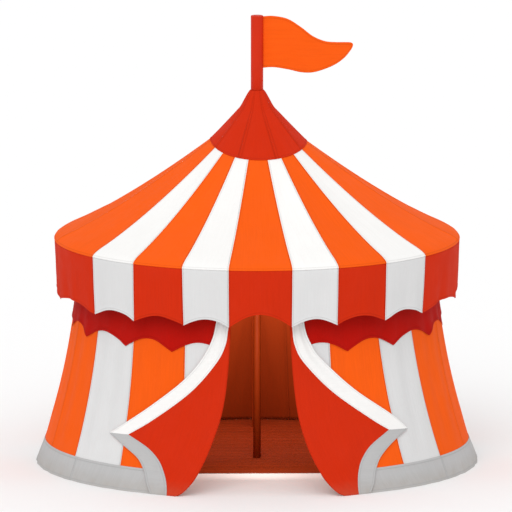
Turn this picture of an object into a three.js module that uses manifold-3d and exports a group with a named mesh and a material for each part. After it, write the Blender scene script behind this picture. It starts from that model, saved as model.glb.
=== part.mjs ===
// Circus big top tent: a round striped canvas tent on one king pole, with a doorway held open by two
// flaps that are folded back over the wall. Millimetres, +Z up. The door faces -Y, and the origin is
// the middle of the tent on the ground. Angles are measured around +Z from the door towards +X.

import * as THREE from "three";
import { mergeVertices } from "three/addons/utils/BufferGeometryUtils.js";
import Module from "manifold-3d";

const wasm = await Module();
wasm.setup();

// Driving dimensions
const GORES = 20; // strips of cloth around the roof, in two colours
const FRONT_SEAMS = [8.95, 22.4, 38.2, 54.5, 82]; // degrees from the middle of the door to each seam
const CANVAS = 16; // modelled thickness of the cloth
const GAP = 0.3; // clearance between touching pieces
const WALL_WAIST_RADIUS = 3560; // outside of the wall where it hangs plumb
const WALL_SPREAD = 840; // how far the wall flares out at the ground
const WALL_FLARE_HEIGHT = 4560; // height where the flare begins
const HEM_HEIGHT = 460;
const CROWN_RADIUS = 330; // hole in the roof around the king pole
const CROWN_HEIGHT = 6957;
const SHOULDER_RADIUS = 3713; // where the roof turns down at the eave
const SHOULDER_HEIGHT = 4721;
const EAVE_RADIUS = 4050;
const EAVE_HEIGHT = 4510; // seam between roof and valance
const VALANCE_FOOT_RADIUS = 3990;
const VALANCE_FOOT_HEIGHT = 3350; // tips between the scallops
const SCALLOP_DEPTH = 150;
const DOOR_SCALLOP_DEPTH = 265; // the scallop over the doorway is cut higher
const INNER_VALANCE_TOP = 3800;
const INNER_VALANCE_FOOT = 2750;
const INNER_SCALLOPS = 18;
const INNER_SCALLOP_DEPTH = 215;
const CAP_SIDE_RADIUS = 985;
const CAP_FRONT_RADIUS = 1245; // the cap reaches further down the roof in front and behind
const MAST_RADIUS = 124;
const MAST_TOP = 8985;
const KING_POLE_RADIUS = 75;
const KING_POLE_TOP = 6950;
const SIDE_POLE_RADIUS = 40;
const HOOP_TUBE_RADIUS = 24;
const HOOP_ARM_RADIUS = 9;
const FRONT_LACING = 4.5; // seams where the wall's panels meet, counted in gores from the door
const BACK_LACING = 7.5;
const DOOR_ANGLE = THREE.MathUtils.degToRad(9.9); // half of the doorway above head height
const DOOR_FOOT_ANGLE = THREE.MathUtils.degToRad(22.4); // half of the doorway on the ground
const DOOR_FLARE_HEIGHT = 3000; // below this the doorway widens
const FLAP_BEND_RADIUS = 42; // middle of the cloth, where the flap turns back
const FLAP_TOP = 4560;
const FLOOR_THICKNESS = 25;
const FLOOR_RADIUS = 4360; // reaches the foot of the wall
const FLOOR_FRONT = -1600; // straight front edge of the floor
const FLAG_THICKNESS = 14;

const TURN = 2 * Math.PI;
const FACETS_PER_GORE = 3; // flat facets, whose edges all nested round pieces share
const AROUND = GORES * FACETS_PER_GORE;
const MAST_SIDES = 24;
const KING_POLE_SIDES = 16;
const SIDE_POLE_SIDES = 12;
const HOOP_SIDES = 8;
const HOOP_ARM_SIDES = 6;
const FLOOR_SIDES = 40;
const BORE_ALLOWANCE = 0.5; // the facets of a bore come this much nearer than its corners

// Colours of the cloth and paint
const ORANGE = 0xff6110;
const RED = 0xd92f0a;
const DARK_RED = 0xaf0d03;
const WHITE = 0xffffff;
const PALE_GREY = 0xe1e1e1;
const HEM_GREY = 0xbfbfbf;
const BROWN = 0x8a2e08;

const tent = new THREE.Group();

function addPiece(name, geometry, colour, roughness = 0.8, metalness = 0) {
  const finish = new THREE.MeshStandardMaterial({ color: colour, roughness, metalness, flatShading: true });
  const mesh = new THREE.Mesh(geometry, finish);
  mesh.name = name;
  tent.add(mesh);
}

function lerp(a, b, t) {
  return a + (b - a) * t;
}

function polar(angle, radius, height) {
  return new THREE.Vector3(radius * Math.sin(angle), -radius * Math.cos(angle), height);
}

// A place around the tent is counted in gores from the middle of the doorway, so that seams lie at
// 0.5, 1.5 and so on. The gores near the door are cut to FRONT_SEAMS and the others are even.
const frontSeams = FRONT_SEAMS.map(THREE.MathUtils.degToRad);
const lastFrontSeam = frontSeams[frontSeams.length - 1];
const EVEN_GORES = GORES + 1 - 2 * frontSeams.length;
const seamAngles = [-frontSeams[0], ...frontSeams];
for (let k = 1; k < EVEN_GORES; k++) {
  seamAngles.push(lerp(lastFrontSeam, TURN - lastFrontSeam, k / EVEN_GORES));
}
seamAngles.push(...frontSeams.map((angle) => TURN - angle).reverse());

function angleAt(place) {
  const turns = Math.floor((place + 0.5) / GORES);
  const within = place + 0.5 - turns * GORES;
  const gore = Math.floor(within);
  return turns * TURN + lerp(seamAngles[gore], seamAngles[gore + 1], within - gore);
}

function placeAt(angle) {
  const turns = Math.floor((angle - seamAngles[0]) / TURN);
  const within = angle - turns * TURN;
  let gore = 0;
  while (gore < GORES - 1 && seamAngles[gore + 1] <= within) gore++;
  const part = (within - seamAngles[gore]) / (seamAngles[gore + 1] - seamAngles[gore]);
  return turns * GORES + gore - 0.5 + part;
}

// Radius of a round piece's flat facets, which is less than the full radius between their edges.
function facetRadius(radius, angle) {
  const facet = Math.floor((placeAt(angle) + 0.5) * FACETS_PER_GORE);
  const start = angleAt(facet / FACETS_PER_GORE - 0.5);
  const end = angleAt((facet + 1) / FACETS_PER_GORE - 0.5);
  return (radius * Math.cos((end - start) / 2)) / Math.cos(angle - (start + end) / 2);
}

// Positions only, with shared corners merged, so that the surface is closed.
function closed(geometry) {
  geometry.deleteAttribute("normal");
  geometry.deleteAttribute("uv");
  const merged = mergeVertices(geometry);
  merged.computeVertexNormals();
  return merged;
}

// A bent sheet with closed edges. place(column, row, side) gives each corner of the grid, on the
// sheet's inner face (side 0) and outer face (side 1). Columns run anticlockwise and rows run up.
function sheet(columns, rows, place) {
  const box = new THREE.BoxGeometry(1, 1, 1, columns, rows, 1);
  const at = box.getAttribute("position");
  for (let k = 0; k < at.count; k++) {
    const column = Math.round((at.getX(k) + 0.5) * columns);
    const row = Math.round((at.getY(k) + 0.5) * rows);
    const side = Math.round(at.getZ(k) + 0.5);
    const p = place(column, row, side);
    at.setXYZ(k, p.x, p.y, p.z);
  }
  return closed(box);
}

// A ring or bell turned about the king pole, with its facets on those of the gores. The profile is a
// list of [radius, height] that goes up on the outside and down on the inside, and closes on itself.
function turned(profile, segments = AROUND) {
  const points = profile.map(([radius, height]) => new THREE.Vector2(radius, height));
  points.push(points[0].clone());
  const ring = new THREE.LatheGeometry(points, segments, Math.PI / AROUND, TURN);
  ring.rotateX(Math.PI / 2);
  const at = ring.getAttribute("position");
  for (let k = 0; k < at.count; k++) {
    const place = (Math.atan2(at.getX(k), -at.getY(k)) * GORES) / TURN;
    const p = polar(angleAt(place), Math.hypot(at.getX(k), at.getY(k)), at.getZ(k));
    at.setXYZ(k, p.x, p.y, p.z);
  }
  return closed(ring);
}

// The same piece on the other side of the door.
function mirrored(geometry) {
  const copy = geometry.clone();
  copy.scale(-1, 1, 1);
  const order = copy.index.array;
  for (let k = 0; k < order.length; k += 3) {
    [order[k + 1], order[k + 2]] = [order[k + 2], order[k + 1]];
  }
  copy.computeVertexNormals();
  return copy;
}

function post(radius, foot, top, segments) {
  const geometry = new THREE.CylinderGeometry(radius, radius, top - foot, segments);
  geometry.rotateX(Math.PI / 2);
  geometry.translate(0, 0, (top + foot) / 2);
  return closed(geometry);
}

function solidOf(geometry) {
  return new wasm.Manifold(
    new wasm.Mesh({
      numProp: 3,
      vertProperties: new Float32Array(geometry.getAttribute("position").array),
      triVerts: new Uint32Array(geometry.index.array),
    }),
  );
}

function geometryOf(solid) {
  const mesh = solid.getMesh();
  const geometry = new THREE.BufferGeometry();
  geometry.setAttribute("position", new THREE.BufferAttribute(mesh.vertProperties, 3));
  geometry.setIndex(new THREE.BufferAttribute(mesh.triVerts, 1));
  geometry.computeVertexNormals();
  return geometry;
}

// Roof: the gores run from the crown ring down a slack curve to the shoulder, and over it to the eave.

const slope = new THREE.QuadraticBezierCurve(
  new THREE.Vector2(SHOULDER_RADIUS, SHOULDER_HEIGHT),
  new THREE.Vector2(2279, 5411),
  new THREE.Vector2(CROWN_RADIUS, CROWN_HEIGHT),
);
const shoulder = new THREE.QuadraticBezierCurve(
  new THREE.Vector2(EAVE_RADIUS, EAVE_HEIGHT),
  new THREE.Vector2(EAVE_RADIUS, 4575),
  new THREE.Vector2(SHOULDER_RADIUS, SHOULDER_HEIGHT),
);
const SHOULDER_ROWS = 3;
const SLOPE_ROWS = 5;
const ROOF_ROWS = SHOULDER_ROWS + SLOPE_ROWS;

// A point of the roof's section, depth below its outer face: row 0 is the eave, the last is the crown.
function roofSection(row, depth) {
  const onShoulder = row < SHOULDER_ROWS;
  const curve = onShoulder ? shoulder : slope;
  const t = onShoulder ? row / SHOULDER_ROWS : (row - SHOULDER_ROWS) / SLOPE_ROWS;
  const p = curve.getPoint(t);
  const along = curve.getTangent(t);
  return new THREE.Vector2(p.x - along.y * depth, p.y + along.x * depth);
}

// Height of the roof's section at a radius on the slope, depth below its outer face.
function roofHeight(radius, depth) {
  let above = roofSection(ROOF_ROWS, depth);
  for (let row = ROOF_ROWS - 1; row >= SHOULDER_ROWS; row--) {
    const below = roofSection(row, depth);
    if (radius <= below.x) {
      return lerp(above.y, below.y, (radius - above.x) / (below.x - above.x));
    }
    above = below;
  }
  throw new Error("this radius is beyond the roof's slope");
}

function roofGore(place) {
  return sheet(FACETS_PER_GORE, ROOF_ROWS, (column, row, side) => {
    const p = roofSection(row, side ? 0 : CANVAS);
    let angle = angleAt(place - 0.5 + column / FACETS_PER_GORE);
    if (column === 0) angle += GAP / 2 / p.x;
    if (column === FACETS_PER_GORE) angle -= GAP / 2 / p.x;
    return polar(angle, p.x, p.y);
  });
}

const SIDE_GORES = [5, 15]; // orange as well, so that each side of the roof has one wide stripe
for (let k = 0; k < GORES; k++) {
  const number = String(k + 1).padStart(2, "0");
  const white = k % 2 === 1 && !SIDE_GORES.includes(k);
  addPiece("roof_gore_" + number, roofGore(k), white ? WHITE : ORANGE);
}

// Hoops: two tubes against the inner face of the roof, one above the wall and one at the eave.

const HOOP_FLAT = HOOP_TUBE_RADIUS * Math.cos(Math.PI / HOOP_SIDES); // from the tube's middle to its flats

// Middle of a hoop's tube that lies against the roof's inner face, part of the way from one row of
// its section to the next.
function underRoof(row, part) {
  const lower = roofSection(row, CANVAS);
  const upper = roofSection(row + 1, CANVAS);
  const along = upper.clone().sub(lower).normalize();
  const inward = new THREE.Vector2(-along.y, along.x);
  return lower.lerp(upper, part).addScaledVector(inward, HOOP_TUBE_RADIUS + GAP);
}

const eaveHoop = underRoof(0, 0.5);
const WALL_HOOP_INSET = 20; // from the wall's outer face to the middle of the tube above it
const wallHoopRadius = WALL_WAIST_RADIUS - WALL_HOOP_INSET;
const slopeFoot = underRoof(SHOULDER_ROWS, 0);
const slopeNext = underRoof(SHOULDER_ROWS, 1);
const wallHoop = slopeFoot.lerp(slopeNext, (slopeFoot.x - wallHoopRadius) / (slopeFoot.x - slopeNext.x));
const underWallHoop = wallHoop.y - HOOP_FLAT - GAP; // top of the wall and of the side poles

// Crown: the ring that carries the tops of the gores, and the cap that covers it.

const CROWN_RING_RADIUS = 470;
const CROWN_RING_FOOT = 6740;
const CROWN_RING_LIP = 30;
const crownRingTop = roofHeight(CROWN_RADIUS, CANVAS + GAP);
const crownRingBore = KING_POLE_RADIUS + GAP + BORE_ALLOWANCE;
const crownRing = turned(
  [
    [crownRingBore, CROWN_RING_FOOT],
    [CROWN_RING_RADIUS - CROWN_RING_LIP, CROWN_RING_FOOT],
    [CROWN_RING_RADIUS, CROWN_RING_FOOT + CROWN_RING_LIP],
    [CROWN_RING_RADIUS, roofHeight(CROWN_RING_RADIUS, CANVAS + GAP)],
    [CROWN_RADIUS, crownRingTop],
    [crownRingBore, crownRingTop],
  ],
  AROUND / 2,
);
addPiece("crown_ring", crownRing, BROWN, 0.5, 0.4);

const CAP_THICKNESS = 18;
const CAP_RIM_WIDTH = 26;
const CAP_THROAT = [
  [360, 7118],
  [310, 7193],
  [184, 7426],
  [MAST_RADIUS + CAP_THICKNESS, 7489],
];
const capInside = CAP_THROAT.map(([radius, height]) => [
  Math.max(radius - CAP_THICKNESS, MAST_RADIUS + BORE_ALLOWANCE),
  height - CAP_THICKNESS / 2,
]);
capInside[capInside.length - 1][1] = CAP_THROAT[CAP_THROAT.length - 1][1];
const capRim = [CAP_SIDE_RADIUS, 0];
const capInnerRim = [CAP_SIDE_RADIUS - CAP_RIM_WIDTH, 0];
const cap = turned([capRim, ...CAP_THROAT, ...capInside.reverse(), capInnerRim]);

// The rim's corners, made at height zero, go to where the rim lies on the roof.
const capCorners = cap.getAttribute("position");
for (let k = 0; k < capCorners.count; k++) {
  if (capCorners.getZ(k) > SHOULDER_HEIGHT) continue;
  const angle = Math.atan2(capCorners.getX(k), -capCorners.getY(k));
  const side = Math.hypot(capCorners.getX(k), capCorners.getY(k));
  const radius = side + (CAP_FRONT_RADIUS - CAP_SIDE_RADIUS) * Math.cos(angle) ** 2;
  const p = polar(angle, radius, roofHeight(radius, -GAP));
  capCorners.setXYZ(k, p.x, p.y, p.z);
}
addPiece("crown_cap", cap, RED);

addPiece("flag_mast", post(MAST_RADIUS, KING_POLE_TOP + GAP, MAST_TOP, MAST_SIDES), RED, 0.5);

// Flag: a pennant that narrows to a rounded tip and ripples along its length.

const FLAG_HOIST = MAST_RADIUS + GAP;
const FLAG_RIPPLE = 70;
const FLAG_COLUMNS = 14;
const FLAG_ROWS = 3;
const flagTop = new THREE.SplineCurve([
  new THREE.Vector2(FLAG_HOIST, 8980),
  new THREE.Vector2(360, 8982),
  new THREE.Vector2(700, 8882),
  new THREE.Vector2(1110, 8583),
  new THREE.Vector2(1350, 8484),
  new THREE.Vector2(1600, 8453),
  new THREE.Vector2(1900, 8418),
]);
const flagFoot = new THREE.SplineCurve([
  new THREE.Vector2(FLAG_HOIST, 7942),
  new THREE.Vector2(360, 7945),
  new THREE.Vector2(700, 7883),
  new THREE.Vector2(1110, 7853),
  new THREE.Vector2(1350, 7913),
  new THREE.Vector2(1600, 8022),
  new THREE.Vector2(1895, 8320),
]);
const flag = sheet(FLAG_COLUMNS, FLAG_ROWS, (column, row, side) => {
  const t = column / FLAG_COLUMNS;
  const low = flagFoot.getPoint(t);
  const high = flagTop.getPoint(t);
  const p = low.lerp(high, row / FLAG_ROWS);
  const ripple = FLAG_RIPPLE * t * Math.sin(TURN * 1.25 * t);
  const depth = lerp(FLAG_THICKNESS / 2, -FLAG_THICKNESS / 2, side);
  return new THREE.Vector3(p.x, ripple + depth, p.y);
});
addPiece("flag", flag, ORANGE);

// Walls: a flared curtain that opens at the door along the fold of each flap.

function wallRadius(height) {
  const below = Math.max(0, 1 - height / WALL_FLARE_HEIGHT);
  return WALL_WAIST_RADIUS + WALL_SPREAD * below * below;
}

function foldAngle(height) {
  const below = Math.max(0, 1 - height / DOOR_FLARE_HEIGHT);
  return DOOR_ANGLE + (DOOR_FOOT_ANGLE - DOOR_ANGLE) * below ** 3;
}

const WALL_ROWS = 7;
const ROW_CROWDING = 1.3; // over 1, so that the rows are closer where the wall flares
const WALL_LEVELS = [];
for (let row = 0; row <= WALL_ROWS; row++) {
  WALL_LEVELS.push(HEM_HEIGHT + (FLAP_TOP - HEM_HEIGHT) * (row / WALL_ROWS) ** ROW_CROWDING);
}
WALL_LEVELS.push(underWallHoop);

// Radius of the wall's outer face at a height, straight between its levels.
function wallFace(height) {
  const levels = [0, ...WALL_LEVELS];
  const upper = Math.max(1, levels.findIndex((level) => level >= height));
  const part = (height - levels[upper - 1]) / (levels[upper] - levels[upper - 1]);
  return lerp(wallRadius(levels[upper - 1]), wallRadius(levels[upper]), part);
}

// Columns of the cloth beside the doorway: above head height the first is the flap's fold and the
// others are facet edges. Lower down they close up, and the last one stays clear of the doorway.
const DOOR_COLUMNS = [placeAt(DOOR_ANGLE), 5 / 6, 7 / 6, 9 / 6, 11 / 6];
const CLEAR_COLUMN = DOOR_COLUMNS.length - 1;
const CLEAR_PLACE = DOOR_COLUMNS[CLEAR_COLUMN];

function columnAngle(column, height) {
  if (column >= CLEAR_COLUMN) {
    return angleAt(CLEAR_PLACE + (column - CLEAR_COLUMN) / FACETS_PER_GORE);
  }
  const part = (DOOR_COLUMNS[column] - DOOR_COLUMNS[0]) / (CLEAR_PLACE - DOOR_COLUMNS[0]);
  return angleAt(lerp(placeAt(foldAngle(height)), CLEAR_PLACE, part));
}

// The column beside the doorway that lies on the seam of a gore.
function columnOf(place) {
  return CLEAR_COLUMN + Math.round((place - CLEAR_PLACE) * FACETS_PER_GORE);
}

// A panel of wall between two columns.
function wallPanel(first, last) {
  return sheet(last - first, WALL_LEVELS.length - 1, (column, row, side) => {
    const height = WALL_LEVELS[row] + (row === 0 ? GAP : 0);
    const radius = wallRadius(height) - (side ? 0 : CANVAS);
    let angle = columnAngle(first + column, WALL_LEVELS[row]);
    if (column === 0) angle += GAP / 2 / radius;
    if (first + column === last) angle -= GAP / 2 / radius;
    return polar(angle, radius, height);
  });
}

const FRONT_END = columnOf(FRONT_LACING);
const SIDE_END = columnOf(BACK_LACING);
const BACK_END = columnOf(GORES - BACK_LACING);
const frontWall = wallPanel(0, FRONT_END);
const sideWall = wallPanel(FRONT_END, SIDE_END);
addPiece("front_wall_right", frontWall, ORANGE);
addPiece("front_wall_left", mirrored(frontWall), ORANGE);
addPiece("side_wall_right", sideWall, PALE_GREY);
addPiece("side_wall_left", mirrored(sideWall), PALE_GREY);
addPiece("back_wall", wallPanel(SIDE_END, BACK_END), ORANGE);

// Hem: the grey band along the foot of the wall, from one side of the door round to the other.

const HEM_LEVELS = [0, HEM_HEIGHT / 2, HEM_HEIGHT];
const hemColumns = 2 * CLEAR_COLUMN + Math.round((GORES - 2 * CLEAR_PLACE) * FACETS_PER_GORE);
const hem = sheet(hemColumns, HEM_LEVELS.length - 1, (column, row, side) => {
  const height = HEM_LEVELS[row];
  const radius = wallRadius(height) - (side ? 0 : CANVAS);
  const fromDoor = Math.min(column, hemColumns - column);
  let angle = columnAngle(fromDoor, height);
  if (fromDoor === 0) angle += GAP / 2 / radius;
  return polar(column === fromDoor ? angle : TURN - angle, radius, height);
});
addPiece("hem_band", hem, HEM_GREY);

// Door flaps: each starts at the fold, turns back outside the wall and lies over it. Its outline on
// the wall is drawn as [degrees from the door, height].

const MM_PER_DEGREE = 70; // along the wall, so that the outlines are drawn in millimetres

function wallOutline(points) {
  const along = points.map(([degrees, height]) => new THREE.Vector2(degrees * MM_PER_DEGREE, height));
  return new THREE.SplineCurve(along);
}

const flapFreeEdge = wallOutline([
  [46.2, 1060],
  [34.1, 1700],
  [23, 2300],
  [15.9, 2900],
  [13.6, 3400],
  [12.9, FLAP_TOP],
]);
const flapFoot = wallOutline([
  [THREE.MathUtils.radToDeg(DOOR_FOOT_ANGLE), 0],
  [29.5, 25],
  [32.2, 420],
  [34, 620],
  [38.1, 830],
  [46.2, 1060],
]);
const FLAP_LEVELS = [0, HEM_HEIGHT / 2, ...WALL_LEVELS.slice(0, WALL_ROWS + 1)];
const FLAP_ROWS = FLAP_LEVELS.length - 1;
const BEND_COLUMNS = 4;
const LAID_COLUMNS = 8;
const FLAP_REST = 14; // clearance under the free edge, where it lies on the wall

// A point of the laid part of the flap as [degrees, height], blended from its four edges.
function flapSurface(across, up) {
  const height = lerp(0, FLAP_TOP, up);
  const fold = new THREE.Vector2(THREE.MathUtils.radToDeg(foldAngle(height)) * MM_PER_DEGREE, height);
  const free = flapFreeEdge.getPointAt(up);
  const foot = flapFoot.getPointAt(across);
  const foldFoot = flapFoot.getPoint(0);
  const foldTop = new THREE.Vector2(THREE.MathUtils.radToDeg(DOOR_ANGLE) * MM_PER_DEGREE, FLAP_TOP);
  const corner = flapFoot.getPoint(1);
  const freeTop = flapFreeEdge.getPoint(1);
  const top = foldTop.clone().lerp(freeTop, across);
  const fromSides = fold.lerp(free, across);
  const fromEnds = foot.lerp(top, up);
  const fromCorners = foldFoot.lerp(corner, across).lerp(foldTop.lerp(freeTop, across), up);
  const p = fromSides.add(fromEnds).sub(fromCorners);
  return [p.x / MM_PER_DEGREE, p.y];
}

const leftFlap = sheet(BEND_COLUMNS + LAID_COLUMNS, FLAP_ROWS, (column, row, side) => {
  const level = FLAP_LEVELS[row];
  const thickness = (side - 0.5) * CANVAS;
  if (column < BEND_COLUMNS) {
    const angle = -foldAngle(level);
    const out = polar(angle, 1, 0);
    const back = polar(angle - Math.PI / 2, 1, 0);
    const turn = (Math.PI * column) / BEND_COLUMNS;
    const p = polar(angle, wallRadius(level) - CANVAS / 2, level);
    p.addScaledVector(out, FLAP_BEND_RADIUS * (1 - Math.cos(turn)) + thickness * Math.cos(turn));
    p.addScaledVector(back, -FLAP_BEND_RADIUS * Math.sin(turn) + thickness * Math.sin(turn));
    return p.addScaledVector(back, -GAP / 2);
  }
  const across = (column - BEND_COLUMNS) / LAID_COLUMNS;
  const [degrees, height] = flapSurface(across, level / FLAP_TOP);
  const settle = 1 - (1 - across) ** 2;
  const lift = lerp(2 * FLAP_BEND_RADIUS, CANVAS + FLAP_REST, settle);
  const radius = wallFace(height) - CANVAS / 2 + lift - thickness;
  return polar(-THREE.MathUtils.degToRad(degrees), radius, Math.max(0, height));
});
addPiece("door_flap_left", leftFlap, RED);
addPiece("door_flap_right", mirrored(leftFlap), RED);

// Valances: the deep scalloped one below the eave, and the dark one that lies on the wall.

// Height of the outer valance's edge above its tips: zero at each seam, highest between two seams.
function valanceScallop(angle) {
  const place = placeAt(angle) + 0.5;
  const gore = Math.floor(place);
  const depth = gore === 0 ? DOOR_SCALLOP_DEPTH : SCALLOP_DEPTH;
  return depth * Math.sin(Math.PI * (place - gore));
}

const VALANCE_BELLY = 0.6; // share of the spread from foot to eave that is reached half way up
const VALANCE_MIDDLE = lerp(VALANCE_FOOT_HEIGHT, EAVE_HEIGHT, 0.5);
const VALANCE_MIDDLE_RADIUS = lerp(VALANCE_FOOT_RADIUS, EAVE_RADIUS, VALANCE_BELLY);
const valanceTop = EAVE_HEIGHT - GAP;
const valance = turned(
  [
    [VALANCE_FOOT_RADIUS, VALANCE_FOOT_HEIGHT],
    [VALANCE_MIDDLE_RADIUS, VALANCE_MIDDLE],
    [EAVE_RADIUS, valanceTop],
    [EAVE_RADIUS - CANVAS, valanceTop],
    [VALANCE_MIDDLE_RADIUS - CANVAS, VALANCE_MIDDLE],
    [VALANCE_FOOT_RADIUS - CANVAS, VALANCE_FOOT_HEIGHT],
  ],
  2 * AROUND,
);
const valanceCorners = valance.getAttribute("position");
for (let k = 0; k < valanceCorners.count; k++) {
  const angle = Math.atan2(valanceCorners.getX(k), -valanceCorners.getY(k));
  const drop = (valanceTop - valanceCorners.getZ(k)) / (valanceTop - VALANCE_FOOT_HEIGHT);
  valanceCorners.setZ(k, valanceCorners.getZ(k) + drop * valanceScallop(angle));
}
addPiece("valance", valance, RED);

// The free edge of the flap at a height, as an angle from the door.
function freeEdgeAngle(height) {
  const HALVINGS = 30;
  let low = 0;
  let high = 1;
  for (let k = 0; k < HALVINGS; k++) {
    const middle = (low + high) / 2;
    if (flapFreeEdge.getPoint(middle).y < height) low = middle;
    else high = middle;
  }
  return THREE.MathUtils.degToRad(flapFreeEdge.getPoint(low).x / MM_PER_DEGREE);
}

const INNER_VALANCE_ROWS = 2;
const INNER_VALANCE_THICKNESS = 10;
const INNER_STEPS = 6; // columns to a scallop
const BESIDE_FLAP = 30; // clearance between the inner valance and the flap's free edge
const CLEAR_OF_FACETS = 4; // extra clearance where the cloth beside the flap spans two facet edges
const regularStart = freeEdgeAngle(INNER_VALANCE_FOOT) + 2 * (BESIDE_FLAP / WALL_WAIST_RADIUS);
const LEAST_STEP = THREE.MathUtils.degToRad(0.2);

function innerScallop(angle) {
  const place = ((angle - DOOR_ANGLE) / (TURN - 2 * DOOR_ANGLE)) * INNER_SCALLOPS;
  return INNER_SCALLOP_DEPTH * Math.sin(Math.PI * (place - Math.floor(place)));
}

// Columns on every facet edge of the wall and on the steps of each scallop, clear of the two flaps.
const facetEdges = [];
for (let k = 0; k < AROUND; k++) {
  facetEdges.push(angleAt(0.5 + k / FACETS_PER_GORE));
}
const scallopSteps = [];
for (let k = 0; k < INNER_SCALLOPS * INNER_STEPS; k++) {
  scallopSteps.push(lerp(DOOR_ANGLE, TURN - DOOR_ANGLE, k / (INNER_SCALLOPS * INNER_STEPS)));
}
const isApart = (angle) => facetEdges.every((edge) => Math.abs(edge - angle) > LEAST_STEP);
const fromFlap = (angle) => Math.min(angle, TURN - angle) - regularStart;
const innerAngles = [...facetEdges, ...scallopSteps.filter(isApart)]
  .filter((angle) => fromFlap(angle) > LEAST_STEP)
  .sort((a, b) => a - b);
innerAngles.unshift(regularStart, regularStart);
innerAngles.push(TURN - regularStart, TURN - regularStart);
const lastInner = innerAngles.length - 1;
const innerValance = sheet(lastInner, INNER_VALANCE_ROWS, (column, row, side) => {
  const fromDoor = Math.min(column, lastInner - column);
  const foot = INNER_VALANCE_FOOT + innerScallop(innerAngles[column]);
  const height = lerp(foot, INNER_VALANCE_TOP, row / INNER_VALANCE_ROWS);
  const edge = freeEdgeAngle(height) + BESIDE_FLAP / WALL_WAIST_RADIUS;
  let angle = innerAngles[column];
  if (fromDoor === 0) angle = column === 0 ? edge : TURN - edge;
  let lift = 2 * GAP;
  if (fromDoor < 2) lift += CLEAR_OF_FACETS;
  if (side) lift += INNER_VALANCE_THICKNESS;
  return polar(angle, facetRadius(wallFace(height), angle) + lift, height);
});
addPiece("inner_valance", innerValance, DARK_RED);

// Frame: the king pole, the side poles inside the wall, and the two hoops that shape the eave.

const kingPole = post(KING_POLE_RADIUS, FLOOR_THICKNESS + GAP, KING_POLE_TOP, KING_POLE_SIDES);
addPiece("king_pole", kingPole, BROWN, 0.5, 0.4);

function hoop(middle) {
  const profile = [];
  for (let k = 0; k < HOOP_SIDES; k++) {
    const around = (TURN * (k + 0.5)) / HOOP_SIDES;
    const out = HOOP_TUBE_RADIUS * Math.cos(around);
    const up = HOOP_TUBE_RADIUS * Math.sin(around);
    profile.push([middle.x + out, middle.y + up]);
  }
  return turned(profile);
}

function hoopArm(angle) {
  const from = polar(angle, wallHoop.x, wallHoop.y);
  const to = polar(angle, eaveHoop.x, eaveHoop.y);
  const length = from.distanceTo(to);
  const arm = new THREE.CylinderGeometry(HOOP_ARM_RADIUS, HOOP_ARM_RADIUS, length, HOOP_ARM_SIDES);
  const upright = new THREE.Vector3(0, 1, 0);
  arm.applyQuaternion(new THREE.Quaternion().setFromUnitVectors(upright, to.clone().sub(from).normalize()));
  const middle = from.clone().lerp(to, 0.5);
  arm.translate(middle.x, middle.y, middle.z);
  return closed(arm);
}

let eaveFrame = solidOf(hoop(wallHoop)).add(solidOf(hoop(eaveHoop)));
for (let k = 0; k < GORES; k++) {
  eaveFrame = eaveFrame.add(solidOf(hoopArm(angleAt(k + 0.5))));
}
addPiece("eave_frame", geometryOf(eaveFrame), BROWN, 0.5, 0.4);

const SIDE_POLES = [
  ["side_pole_back_left", -BACK_LACING],
  ["side_pole_left", -FRONT_LACING],
  ["side_pole_front_left", -CLEAR_PLACE],
  ["side_pole_front_right", CLEAR_PLACE],
  ["side_pole_right", FRONT_LACING],
  ["side_pole_back_right", BACK_LACING],
  ["side_pole_back", GORES / 2],
];
for (const [name, place] of SIDE_POLES) {
  const angle = angleAt(place);
  const inside = facetRadius(WALL_WAIST_RADIUS - CANVAS, angle) - GAP;
  const middle = polar(angle, inside - SIDE_POLE_RADIUS, 0);
  const foot = middle.y > FLOOR_FRONT ? FLOOR_THICKNESS + GAP : 0;
  const pole = post(SIDE_POLE_RADIUS, foot, underWallHoop, SIDE_POLE_SIDES);
  pole.rotateZ(angle);
  pole.translate(middle.x, middle.y, 0);
  addPiece(name, pole, BROWN, 0.5, 0.4);
}

// Floor: a round ring floor with a straight front edge behind the entrance.

const frontCorner = Math.asin(FLOOR_FRONT / FLOOR_RADIUS);
const floorOutline = new THREE.Shape();
floorOutline.absarc(0, 0, FLOOR_RADIUS, frontCorner, Math.PI - frontCorner, false);
floorOutline.closePath();
const floor = new THREE.ExtrudeGeometry(floorOutline, {
  depth: FLOOR_THICKNESS,
  bevelEnabled: false,
  curveSegments: FLOOR_SIDES,
});
addPiece("ring_floor", closed(floor), BROWN);

export default tent;
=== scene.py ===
import math

import bmesh
import bpy
import numpy as np
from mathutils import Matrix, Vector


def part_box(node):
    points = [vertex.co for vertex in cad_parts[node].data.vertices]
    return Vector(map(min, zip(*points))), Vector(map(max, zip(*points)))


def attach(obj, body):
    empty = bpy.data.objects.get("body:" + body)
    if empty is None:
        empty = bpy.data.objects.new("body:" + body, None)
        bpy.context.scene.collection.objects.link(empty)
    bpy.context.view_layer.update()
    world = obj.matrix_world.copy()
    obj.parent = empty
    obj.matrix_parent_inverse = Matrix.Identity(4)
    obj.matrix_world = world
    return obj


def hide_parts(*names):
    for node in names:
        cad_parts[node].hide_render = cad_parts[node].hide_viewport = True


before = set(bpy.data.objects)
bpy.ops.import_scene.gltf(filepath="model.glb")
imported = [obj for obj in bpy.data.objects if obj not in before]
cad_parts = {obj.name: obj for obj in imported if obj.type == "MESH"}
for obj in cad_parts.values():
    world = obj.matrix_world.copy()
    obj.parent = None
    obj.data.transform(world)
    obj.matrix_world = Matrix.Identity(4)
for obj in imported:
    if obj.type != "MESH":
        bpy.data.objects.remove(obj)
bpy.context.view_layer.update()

# Circus big top tent, dressed. Metres, +Z up, the door faces -Y. Angles are measured around +Z from
# the door towards +X, in radians unless a name says degrees.

# Camera: far away with a long lens, because the drawing has almost parallel lines.

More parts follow.
